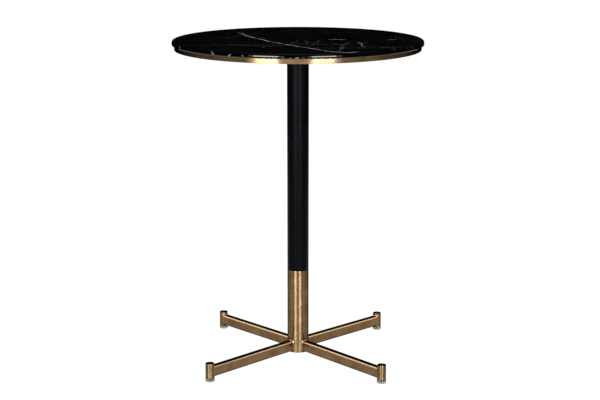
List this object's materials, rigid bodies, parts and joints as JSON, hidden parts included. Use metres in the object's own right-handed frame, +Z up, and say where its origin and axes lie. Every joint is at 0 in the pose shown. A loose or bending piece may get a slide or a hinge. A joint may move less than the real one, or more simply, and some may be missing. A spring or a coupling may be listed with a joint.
{
  "type": "bar table",
  "caption": "Tall round table: marble slab with a brass rim band on a black and brass column, cross base of tube legs with posts on levelling glides.",
  "frame": {"origin": "on the floor, on the column's axis, at the middle of the four glides", "axes": "+Z up along the column; the legs lie on the diagonals between X and Y; the side that faces the camera is -Y, and +X is to its right"},
  "size_m": [0.8, 0.8, 1.05],
  "materials": {
    "marble": "polished black marble with thin pale veins",
    "board": "black stained plywood",
    "brass": "brushed antique brass finish on steel tube, lacquered",
    "black_coat": "black satin powder coat",
    "zinc_steel": "bright zinc plated steel",
    "plain_steel": "turned mild steel",
    "insert_brass": "turned brass",
    "clear_plastic": "clear grey moulded plastic"
  },
  "bodies": {
    "table_frame": {"marble_top": "marble", "top_board": "board", "rim_band": "brass", "board_inserts": "insert_brass", "plate_screws": "black_coat", "top_plate": "black_coat", "column_boss": "plain_steel", "upper_column": "black_coat", "joining_sleeve": "black_coat", "lower_column": "brass", "base_plate": "plain_steel", "tie_rod": "zinc_steel", "rod_washer": "zinc_steel", "rod_nut": "zinc_steel", "leg_front_left": "brass", "post_front_left": "brass", "plug_front_left": "plain_steel", "leg_front_right": "brass", "post_front_right": "brass", "plug_front_right": "plain_steel", "leg_back_right": "brass", "post_back_right": "brass", "plug_back_right": "plain_steel", "leg_back_left": "brass", "post_back_left": "brass", "plug_back_left": "plain_steel"},
    "glide_pad_front_left": {"pad_front_left": "clear_plastic"},
    "glide_stud_front_left": {"stud_front_left": "zinc_steel"},
    "glide_pad_front_right": {"pad_front_right": "clear_plastic"},
    "glide_stud_front_right": {"stud_front_right": "zinc_steel"},
    "glide_pad_back_right": {"pad_back_right": "clear_plastic"},
    "glide_stud_back_right": {"stud_back_right": "zinc_steel"},
    "glide_pad_back_left": {"pad_back_left": "clear_plastic"},
    "glide_stud_back_left": {"stud_back_left": "zinc_steel"}
  },
  "joints": [
    {"name": "glide_travel_front_left", "type": "slide", "parent": "table_frame", "child": "glide_pad_front_left", "axis": [0, 0, -1], "range_m": [0, 0.01]},
    {"name": "stud_turn_front_left", "type": "hinge", "parent": "glide_pad_front_left", "child": "glide_stud_front_left", "pos_m": [-0.27011, -0.27011, 0.02], "axis": [0, 0, -1], "range_deg": [0, 2880]},
    {"name": "glide_travel_front_right", "type": "slide", "parent": "table_frame", "child": "glide_pad_front_right", "axis": [0, 0, -1], "range_m": [0, 0.01]},
    {"name": "stud_turn_front_right", "type": "hinge", "parent": "glide_pad_front_right", "child": "glide_stud_front_right", "pos_m": [0.27011, -0.27011, 0.02], "axis": [0, 0, -1], "range_deg": [0, 2880]},
    {"name": "glide_travel_back_right", "type": "slide", "parent": "table_frame", "child": "glide_pad_back_right", "axis": [0, 0, -1], "range_m": [0, 0.01]},
    {"name": "stud_turn_back_right", "type": "hinge", "parent": "glide_pad_back_right", "child": "glide_stud_back_right", "pos_m": [0.27011, 0.27011, 0.02], "axis": [0, 0, -1], "range_deg": [0, 2880]},
    {"name": "glide_travel_back_left", "type": "slide", "parent": "table_frame", "child": "glide_pad_back_left", "axis": [0, 0, -1], "range_m": [0, 0.01]},
    {"name": "stud_turn_back_left", "type": "hinge", "parent": "glide_pad_back_left", "child": "glide_stud_back_left", "pos_m": [-0.27011, 0.27011, 0.02], "axis": [0, 0, -1], "range_deg": [0, 2880]}
  ],
  "couplings": [
    {"joint": "stud_turn_front_left", "follows": "glide_travel_front_left", "rad_per_m": 5026.5},
    {"joint": "stud_turn_front_right", "follows": "glide_travel_front_right", "rad_per_m": 5026.5},
    {"joint": "stud_turn_back_right", "follows": "glide_travel_back_right", "rad_per_m": 5026.5},
    {"joint": "stud_turn_back_left", "follows": "glide_travel_back_left", "rad_per_m": 5026.5}
  ]
}
